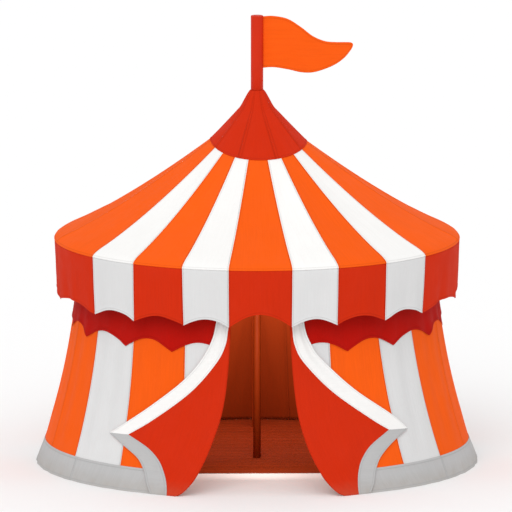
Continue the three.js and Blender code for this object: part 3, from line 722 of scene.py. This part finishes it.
FLAP_REST_LIFT = 0.022  # the laid flap's height over the wall at its free edge
FLAP_FOLDS = 0.036
FOLDS_ACROSS = 1.9
FOLD_LEAN = 0.35  # of a turn that the folds shift in each metre of height
FOLD_START = 0.2  # of a turn, the other way on the other side
FOLD_TAPER = 1.5
FOLD_RUN = 0.6  # height over which the folds grow from the least share at the foot
LEAST_FOLD = 0.2
FLAP_CURL = 0.012
CURL_WIDTH = 0.09
FLAP_SPREAD = 0.3  # height of the foot, where the flap's outlines spread quickly
FLAP_ROWS = (12, 24, 80)  # in the foot, from there up to the tip, and over it
OUTLINE_STEPS = 16
TAPE_RISE = 0.0045  # of a tape's outer face over the cloth that it is sewn on
TAPE_COLUMNS = 16
BORDER_ROWS = 100
HEM_TAPE_ROWS = 44
FLAP_COLUMNS = 48
BEND_COLUMNS = 12
OUTLINE_POINTS = {
    -1: {
        "fold": [(22.4, 0.0), (20.5, 0.1), (17.6, 0.4), (14.2, 1.0), (11.2, 1.8), (9.9, 3.0), (9.9, 4.6)],
        "free edge": [
            (46.6, 1.05), (43.2, 1.2), (32.8, 1.7), (22.2, 2.3), (15.9, 2.9), (13.6, 3.5), (12.9, 4.6)
        ],
        "border": [(39.7, 1.07), (32.1, 1.4), (20.8, 2.0), (13.2, 2.6), (10.6, 2.95), (9.9, 3.25)],
        "hem inner": [(24.7, 0.0), (25.2, 0.2), (26.3, 0.42), (28.4, 0.66), (32.6, 0.88), (39.7, 1.07)],
        "hem outer": [(29.5, 0.0), (31.2, 0.2), (32.5, 0.42), (35.2, 0.65), (40.2, 0.84), (46.6, 1.05)],
    },
    1: {
        "fold": [(22.2, 0.0), (20.1, 0.1), (17.0, 0.4), (13.4, 1.0), (11.0, 1.8), (9.9, 3.2), (9.9, 4.6)],
        "free edge": [
            (46.2, 1.12), (41.8, 1.4), (29.2, 2.0), (19.6, 2.6), (16.2, 2.9), (13.7, 3.4), (12.9, 4.6)
        ],
        "border": [(39.0, 1.155), (33.4, 1.4), (21.6, 2.0), (13.2, 2.6), (10.5, 2.95), (9.9, 3.25)],
        "hem inner": [(26.0, 0.0), (26.2, 0.2), (26.9, 0.42), (28.6, 0.66), (32.2, 0.91), (39.0, 1.155)],
        "hem outer": [(29.5, 0.0), (31.2, 0.2), (32.3, 0.42), (34.6, 0.66), (39.4, 0.9), (46.2, 1.12)],
    },
}
OUTLINES = {
    side: {name: curve_through(points, OUTLINE_STEPS) for name, points in lines.items()}
    for side, lines in OUTLINE_POINTS.items()
}


def outline(side, name, height):
    """Angle of an outline at a height, always counted away from the doorway's middle."""
    line = OUTLINES[side][name]
    return np.radians(np.interp(height, line[:, 1], line[:, 0]))


def flap_edge(side, height):
    tip = OUTLINES[side]["free edge"][0, 1]
    return np.where(height < tip, outline(side, "hem outer", height), outline(side, "free edge", height))


def wall_radius(height):
    return WAIST_RADIUS + WALL_SPREAD * np.maximum(0.0, 1 - np.asarray(height) / FLARE_HEIGHT) ** 2


def flap_lift(side, angle, height):
    """How far the folded cloth stands off the wall: rolled at the fold, laid flat at its edge, which
    curls up a little."""
    fold, edge = outline(side, "fold", height), flap_edge(side, height)
    part = np.clip((angle - fold) / (edge - fold), 0, 1)
    settled = 1 - (1 - part) ** 2
    rolled = 2 * FLAP_BEND - CANVAS / 2
    waves = 0.5 + 0.5 * np.sin(TURN * (part * FOLDS_ACROSS + FOLD_LEAN * height + FOLD_START * side))
    size = FLAP_FOLDS * np.sin(math.pi * part) ** FOLD_TAPER * np.clip(height / FOLD_RUN, LEAST_FOLD, 1)
    curl = FLAP_CURL * np.clip(1 - (edge - angle) * wall_radius(height) / CURL_WIDTH, 0, 1) ** 2
    return rolled + (FLAP_REST_LIFT - rolled) * settled + size * waves + curl


def between(inner, outer, columns):
    """Angles and heights [rows, columns] of a grid between two lines that run up."""
    parts = np.linspace(0, 1, columns)[None]
    return [a[:, None] + (b - a)[:, None] * parts for a, b in zip(inner, outer)]


def flap_points(side, angle, height, rise=0.0):
    """Points of the folded cloth's outer face, or this much above it."""
    return polar(side * angle, wall_radius(height) + flap_lift(side, angle, height) + rise, height)


def facing(side, patch):
    return patch if side > 0 else patch.turned()


def sewn_tape(side, inner, outer, slot):
    """A strip that is sewn on the flap between two lines, each the angles and heights of its rows."""
    points = flap_points(side, *between(inner, outer, TAPE_COLUMNS), TAPE_RISE)
    inset = lengths(points, 1)
    from_edge = np.minimum(inset, inset[:, -1:] - inset)
    return facing(side, Patch(points, FAR, from_edge, lengths(points[:, 0], 0)[:, None], inset, slot))


def folded_cloth(side, rows):
    """The flap's cloth from behind the wall's edge, round the bend at the fold, to its free edge."""
    fold, edge = outline(side, "fold", rows), flap_edge(side, rows)
    turn = np.linspace(0, math.pi, BEND_COLUMNS)[None, :-1]
    face = wall_radius(rows)[:, None] - CANVAS / 2
    bend = polar(side * fold[:, None], face + FLAP_BEND * (1 - np.cos(turn)), rows[:, None])
    towards_door = polar(side * (fold[:, None] - math.pi / 2), 1.0, 0.0)
    bend = bend + towards_door * (FLAP_BEND * np.sin(turn))[..., None]
    laid = flap_points(side, *between((fold, rows), (edge, rows), FLAP_COLUMNS))
    points = np.concatenate([bend, laid], axis=1)
    return facing(side, Patch(points, FAR, FAR, lengths(points, 1), rows[:, None]))


def make_flap(side, name):
    lines = OUTLINES[side]
    corner = lines["hem inner"][-1, 1]
    tip = lines["free edge"][0, 1]
    border_top = lines["border"][-1, 1]
    stretches = zip((0, FLAP_SPREAD, tip), (FLAP_SPREAD, tip, FLAP_TOP), FLAP_ROWS)
    foot_rows, hem_rows, top_rows = (np.linspace(*stretch) for stretch in stretches)
    cloth = folded_cloth(side, np.concatenate([foot_rows[:-1], hem_rows, top_rows[1:]]))
    t = np.linspace(0, 1, BORDER_ROWS)
    low, high = corner + (FLAP_TOP - corner) * t, tip + (FLAP_TOP - tip) * t
    inner = np.where(low < border_top, outline(side, "border", low), outline(side, "fold", low))
    border = sewn_tape(side, (inner, low), (outline(side, "free edge", high), high), slot=1)
    t = np.linspace(0, 1, HEM_TAPE_ROWS)
    low, high = corner * t, tip * t
    hem_inner = (outline(side, "hem inner", low), low)
    hem_outer = (outline(side, "hem outer", high), high)
    hem = sewn_tape(side, hem_inner, hem_outer, slot=2)
    return build(
        name,
        [cloth, border, hem],
        [flap_lining, flap_border, flap_hem],
        replaces=[name.replace("_cloth", "")],
    )


# Wall: one flared sheet in stripes, from one fold round to the other, and a hem band over its foot.

WALL_FOOT = 0.004
STRIPE_HEIGHTS = (0.45, 3.2)  # where the stripes' seams are given, in degrees from the doorway's middle
STRIPES = {
    -1: [(22.0, 24.0), (40.7, 43.0), (59.4, 60.4), (76.0, 76.0), (94.0, 94.0)],
    1: [(22.0, 22.0), (42.4, 39.9), (58.2, 55.4), (76.0, 76.0), (94.0, 94.0)],
}
SIDES = ("right", "left")
GREY_STRIPES = [True, False, True, False, False]
BACK_STRIPES = 9
BACK_GREYS = [k % 2 == 0 for k in range(BACK_STRIPES)]
WALL_GREYS = np.array(GREY_STRIPES + BACK_GREYS + GREY_STRIPES[::-1])
WALL_FOLDS = [(0.012, 47, 0.2), (0.008, 29, 0.6)]
FOLDS_OVER_HEM = 0.5  # height over the hem in which they grow
FOLDS_TOP = 3.6  # above it there are none, and they run out over the next length down
FOLDS_UNDER_TOP = 1.0
BESIDE_FLAP = 0.1  # radians beside a flap over which the folds run out
SEAM_BESIDE_FLAP = 0.02
LEAST_STRIP = 0.004  # radians left of a strip that runs out at a flap
WALL_ROWS = np.concatenate([[WALL_FOOT, 0.1, 0.2, 0.3, 0.4], np.linspace(HEM_HEIGHT, WALL_TOP, 44)])
WALL_COLUMNS = 12  # to a strip


def stripe_seams(heights):
    """Angles of the wall's seams at these heights, from the right flap round to the left one."""
    low, high = STRIPE_HEIGHTS
    part = (heights - low) / (high - low)
    seams = {side: [np.radians(a + (b - a) * part) for a, b in STRIPES[side]] for side in (-1, 1)}
    first, last = math.radians(STRIPES[1][-1][0]), TURN - math.radians(STRIPES[-1][-1][0])
    back = np.linspace(first, last, BACK_STRIPES + 1)[1:-1]
    return [*seams[1], *back, *(TURN - seam for seam in seams[-1][::-1])]


def door_to_door(seams, heights):
    """Edges of the strips of a sheet that goes round the tent from one fold to the other."""
    start, end = outline(1, "fold", heights), TURN - outline(-1, "fold", heights)
    return [start, *(np.clip(seam, start + LEAST_STRIP, end - LEAST_STRIP) for seam in seams), end]


def beyond_flap(angles, heights):
    """How far a place on the wall is from the flap beside it, in radians."""
    right = angles - flap_edge(1, heights)
    left = TURN - angles - flap_edge(-1, heights)
    return np.minimum(right, left)


def wall_folds(angles, heights):
    """The wall's soft folds, which run out at its hem, under the eave and beside the flaps."""
    over_hem = np.clip((heights - HEM_HEIGHT) / FOLDS_OVER_HEM, 0, 1)
    under_top = np.clip((FOLDS_TOP - heights) / FOLDS_UNDER_TOP, 0, 1)
    beside_flap = np.clip(beyond_flap(angles, heights) / BESIDE_FLAP, 0, 1)
    return folds(angles, WALL_FOLDS) * over_hem * under_top * beside_flap


def make_wall():
    edges = door_to_door(stripe_seams(WALL_ROWS), WALL_ROWS)
    angles, nearest, _, place, numbers = strips(edges, wall_radius(WALL_ROWS), WALL_COLUMNS)
    height = WALL_ROWS[:, None]
    rise = ridge(nearest) * np.clip(beyond_flap(angles, height) / SEAM_BESIDE_FLAP, 0, 1)
    points = polar(angles, wall_radius(height) + wall_folds(angles, height) + rise, height)
    return build(
        "wall_cloth",
        [Patch(points, nearest, FAR, place, height, WALL_GREYS[numbers])],
        [orange_wall, grey_wall, shaded_lining, shaded_lining],
        replaces=[*(f"{part}_wall_{side}" for part in ("front", "side") for side in SIDES), "back_wall"],
        under=2,
    )


BAND_LIFT = 0.005  # of the hem band over the wall
BAND_FOLDS = [(0.007, 47, 0.2), (0.004, 73, 0.4)]
BAND_FOLD_RUN = 0.3  # length over which they grow from the band's top down
BAND_FIRST_SEAM = 58.5  # degrees
BAND_SEAM_COUNT = 9
BAND_SEAMS = np.radians(np.linspace(BAND_FIRST_SEAM, 360 - BAND_FIRST_SEAM, BAND_SEAM_COUNT))
BAND_SEAM_RISE = 0.5  # of a roof seam's rise
BAND_EDGE_RISE = 0.6  # of a hem's
BAND_TOP_ROWS = [HEM_HEIGHT - row for row in HEM_ROWS[::-1]]
BAND_ROWS = np.array([*HEM_ROWS, 0.12, 0.2, 0.28, 0.34, 0.4, *BAND_TOP_ROWS])
BAND_COLUMNS = 30  # to a length between seams


def make_hem():
    edges = door_to_door(BAND_SEAMS, BAND_ROWS)
    angles, nearest, _, place, _ = strips(edges, wall_radius(BAND_ROWS), BAND_COLUMNS)
    height = BAND_ROWS[:, None]
    from_edge = np.minimum(height, HEM_HEIGHT - height)
    beside_flap = np.clip(beyond_flap(angles, height) / BESIDE_FLAP, 0, 1)
    calm = beside_flap * np.clip((HEM_HEIGHT - height) / BAND_FOLD_RUN, 0, 1)
    rise = BAND_LIFT + BAND_SEAM_RISE * ridge(nearest) + BAND_EDGE_RISE * hem_rise(from_edge)
    points = polar(angles, wall_radius(height) + outward_folds(angles, BAND_FOLDS) * calm + rise, height)
    return build(
        "hem_cloth",
        [Patch(points, nearest, from_edge, place, height)],
        [hem_cloth, shaded_lining],
        replaces=["hem_band"],
        under=1,
    )


# Inner valance: dark red scallops that lie on the wall, and run in under the flaps. They are a painted
# shadow: a dark red sheet where the valance's shadow falls on the wall.

INNER_TIPS = [DOOR_DEGREES, 28.0, 45.7, 66.8, 85.6]  # degrees, then even round the back
INNER_LIFT = 0.008  # over the wall
INNER_FOLDS = [(0.006, 43, 0.15), (0.004, 27, 0.4)]
UNDER_FLAP = 0.012  # radians that it runs in under a flap's edge
MOST_COVERED = 0.2  # radians that a column is moved at most to leave a flap
INNER_BESIDE_FLAP = 0.06  # radians beside a flap over which its folds run out
INNER_COLUMNS = 24  # to a scallop
INNER_ENDS = 0.05  # of a scallop, cut off at both ends


def make_valance_shadow():
    side_tips = np.radians(INNER_TIPS)
    back_count = INNER_SCALLOPS + 3 - 2 * len(INNER_TIPS)
    back_tips = np.linspace(side_tips[-1], TURN - side_tips[-1], back_count)
    tips = np.concatenate([side_tips[:-1], back_tips, TURN - side_tips[-2::-1]])
    columns = INNER_SCALLOPS * INNER_COLUMNS + 1
    counts = np.linspace(INNER_ENDS, INNER_SCALLOPS - INNER_ENDS, columns)
    angles = np.interp(counts, np.arange(INNER_SCALLOPS + 1), tips)
    arch = np.abs(np.sin(math.pi * counts))
    heights, above_edge = hanging(INNER_VALANCE_TOP, INNER_VALANCE_FOOT + INNER_SCALLOP_DEPTH * arch)
    # Columns that would lie deep under a flap are drawn up to its edge.
    covered = np.clip(-beyond_flap(angles, heights) - UNDER_FLAP, 0, MOST_COVERED)
    angles = angles + np.where(angles < math.pi, covered, -covered)
    beside_flap = np.clip(beyond_flap(angles, heights) / INNER_BESIDE_FLAP, 0, 1)
    fall = (INNER_VALANCE_TOP - heights) / (INNER_VALANCE_TOP - INNER_VALANCE_FOOT)
    rise = (outward_folds(angles, INNER_FOLDS) * fall + hem_rise(above_edge)) * beside_flap + INNER_LIFT
    points = polar(angles, wall_radius(heights) + wall_folds(angles, heights) + rise, heights)
    return build(
        "valance_shadow_sheet",
        [Patch(points, FAR, above_edge, WAIST_RADIUS * angles, heights)],
        [valance_shadow_cloth],
        replaces=["inner_valance"],
        thickness=FINE_CLOTH,
    )


# Flag: a hemmed pennant with a rounded tip, which flies to the right and ripples.

FLAG_STATIONS = [0.118, 0.33, 0.61, 0.87, 1.11, 1.35, 1.57, 1.75, 1.85, 1.9, 1.918]
FLAG_TOP = [8.97, 8.975, 8.915, 8.755, 8.575, 8.475, 8.445, 8.435, 8.43, 8.415, 8.385]
FLAG_FOOT = [7.93, 7.94, 7.895, 7.84, 7.84, 7.905, 8.0, 8.125, 8.24, 8.315, 8.37]
FLAG_STEPS = 12  # from one station to the next
FLAG_ROWS = 24
FLAG_HEM_ROWS = [[0.0], [0.02], [HEM_WIDTH], [HEM_STEP]]
FLAG_HEM_SHARES = [[0.0], [0.1], [0.2], [0.24]]  # of its height, where those rows don't fit
FLAG_HEM_RISE = 0.5  # of a hem's
WAVE_SIZE = 0.07
WAVES = 1.25  # along the flag
FLUTTER_SIZE = 0.014
FLUTTERS = 2.6  # along the flag
FLUTTER_LEAN = 0.7  # of a turn that they shift in each metre of height


def make_flag():
    low = curve_through(list(zip(FLAG_STATIONS, FLAG_FOOT)), FLAG_STEPS)[None]
    high = curve_through(list(zip(FLAG_STATIONS, FLAG_TOP)), FLAG_STEPS)[None]
    tall = (high - low)[..., 1]
    hem_rows = np.minimum(FLAG_HEM_ROWS, tall * FLAG_HEM_SHARES)
    middle_rows = hem_rows[-1] + (tall - 2 * hem_rows[-1]) * np.linspace(0, 1, FLAG_ROWS)[1:-1, None]
    from_foot = np.vstack([hem_rows, middle_rows, tall - hem_rows[::-1]])
    from_edge = np.minimum(from_foot, tall - from_foot)
    flat = low + (high - low) * (from_foot / tall)[..., None]
    x, z = flat[..., 0], flat[..., 1]
    t = (x - FLAG_STATIONS[0]) / (FLAG_STATIONS[-1] - FLAG_STATIONS[0])
    wave = WAVE_SIZE * np.sin(TURN * WAVES * t)
    flutter = FLUTTER_SIZE * np.sin(TURN * (FLUTTERS * t + FLUTTER_LEAN * z))
    y = t * (wave + flutter) - FLAG_HEM_RISE * hem_rise(from_edge)
    return build(
        "flag_cloth",
        [Patch(np.stack([x, y, z], axis=-1), FAR, from_edge, z, x)],
        [orange_cloth],
        replaces=["flag"],
        thickness=FINE_CLOTH,
    )


# Mast and poles: turned posts with rounded tops.

POST_SIDES = 48
BEVEL_POINTS = 5
MAST_BEVEL = 0.012
KING_POLE_BEVEL = 0.008


def make_post(name, sizes, material, replaces):
    """A closed post on the tent's axis, from its radius, foot, top and bevel."""
    radius, foot, top, bevel = sizes
    turns = np.linspace(0, math.pi / 2, BEVEL_POINTS)
    rounded = [(radius - bevel + bevel * math.cos(a), top - bevel + bevel * math.sin(a)) for a in turns]
    middle = (foot + top) / 2
    profile = np.array([(0.0, foot), (radius, foot), (radius, middle), *rounded, (0.0, top)])
    around = np.linspace(0, TURN, POST_SIDES, endpoint=False)[None]
    points = polar(around, profile[:, :1], profile[:, 1:])
    patch = Patch(points, FAR, FAR, radius * around, profile[:, 1:], wraps=True)
    return build(name, [patch], [material], [replaces], thickness=0)


# Floor: boards side by side, cut to the round, with a straight front edge.

BOARD_GAP = 0.004
BOARD_BEVEL = 0.003
BOARD_LIFT = 0.0005  # over the ground
LEAST_BOARD = 0.03  # a narrower one is left out at the back
LAST_INSET = 0.01  # of the last board's edge from the round
BOARD_SECTIONS = 12  # along its length


def make_board(start, end):
    low, high = BOARD_LIFT, FLOOR_TOP + BOARD_LIFT
    inner_start, inner_end = start + BOARD_BEVEL, end - BOARD_BEVEL
    rim = [(end, low), (end, high - BOARD_BEVEL), (inner_end, high), (inner_start, high)]
    rim += [(start, high - BOARD_BEVEL), (start, low)]
    y, z = np.tile(np.array(rim).T[:, None], (1, BOARD_SECTIONS + 2, 1))
    across = np.concatenate([[-1], np.linspace(-1, 1, BOARD_SECTIONS), [1]])[:, None]
    points = np.stack([np.sqrt(FLOOR_RADIUS**2 - y**2) * across, y, z], axis=-1)
    points[0], points[-1] = points[0].mean(axis=0), points[-1].mean(axis=0)
    return Patch(points, FAR, FAR, points[..., 0], points[..., 1], wraps=True)


def make_floor():
    board_patches = []
    for start in np.arange(FLOOR_FRONT - NOSING, FLOOR_RADIUS - LEAST_BOARD, BOARD_WIDTH):
        end = min(start + BOARD_WIDTH - BOARD_GAP, FLOOR_RADIUS - LAST_INSET)
        board_patches.append(make_board(start, end))
    return build("floor_boards", board_patches, [floor_paint], ["ring_floor"], thickness=0)


roof = make_roof()
cap = make_cap()
valance = make_valance()
left_flap = make_flap(-1, "door_flap_cloth_left")
right_flap = make_flap(1, "door_flap_cloth_right")
wall = make_wall()
hem = make_hem()
inner_valance = make_valance_shadow()
flag = make_flag()
mast = make_post(
    "flag_mast_painted",
    (MAST_RADIUS, MAST_FOOT, MAST_TOP, MAST_BEVEL),
    red_paint,
    replaces="flag_mast",
)
make_post(
    "king_pole_painted",
    (KING_POLE_RADIUS, FLOOR_TOP + BOARD_LIFT, KING_POLE_TOP, KING_POLE_BEVEL),
    brown_paint,
    replaces="king_pole",
)
make_floor()
# The poles and frames inside take the brown paint of the painted shade.
for name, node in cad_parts.items():
    if name.startswith("side_pole") or name in ("eave_frame", "crown_ring"):
        node.data.materials.clear()
        node.data.materials.append(brown_paint)

# Studio: a pale floor, even light all round, one soft sun from the front left, and soft lamps under
# the roof, because cloth lets daylight through.

FLOOR_REACH = 600.0
FLOOR_DROP = 0.0005
FLOOR_WHITE = (0.9, 0.9, 0.9, 1.0)

corners = [(-FLOOR_REACH, -FLOOR_REACH), (FLOOR_REACH, -FLOOR_REACH)]
corners += [(FLOOR_REACH, FLOOR_REACH), (-FLOOR_REACH, FLOOR_REACH)]
floor_mesh = bpy.data.meshes.new("studio_floor")
floor_mesh.from_pydata([(x, y, -FLOOR_DROP) for x, y in corners], [], [(0, 1, 2, 3)])
floor_look = Tree("studio_floor", roughness=0.9, specular=0.0)
floor_mesh.materials.append(floor_look.finish(FLOOR_WHITE))
studio_floor = bpy.data.objects.new("studio_floor", floor_mesh)
bpy.context.scene.collection.objects.link(studio_floor)

world = bpy.data.worlds.new("studio")
bpy.context.scene.world = world
world.use_nodes = True
background = world.node_tree.nodes["Background"]
background.inputs[0].default_value = (1.0, 1.0, 1.0, 1.0)
background.inputs[1].default_value = SKY

sun_data = bpy.data.lights.new("sun", "SUN")
sun_data.energy = SUN
sun_data.angle = SUN_SPREAD
sun = bpy.data.objects.new("sun", sun_data)
sun.rotation_euler = SUN_TURN
bpy.context.scene.collection.objects.link(sun)
for name, place, tilt, size, watts in LAMPS:
    lamp_data = bpy.data.lights.new(name, "AREA")
    lamp_data.energy = watts
    lamp_data.shape = "RECTANGLE"
    lamp_data.size, lamp_data.size_y = size
    lamp_data.color = LAMP_COLOUR
    lamp = bpy.data.objects.new(name, lamp_data)
    lamp.location = place
    lamp.rotation_euler = (math.radians(tilt), 0.0, 0.0)
    lamp.visible_camera = False
    bpy.context.scene.collection.objects.link(lamp)
bpy.context.scene.view_settings.view_transform = "Standard"
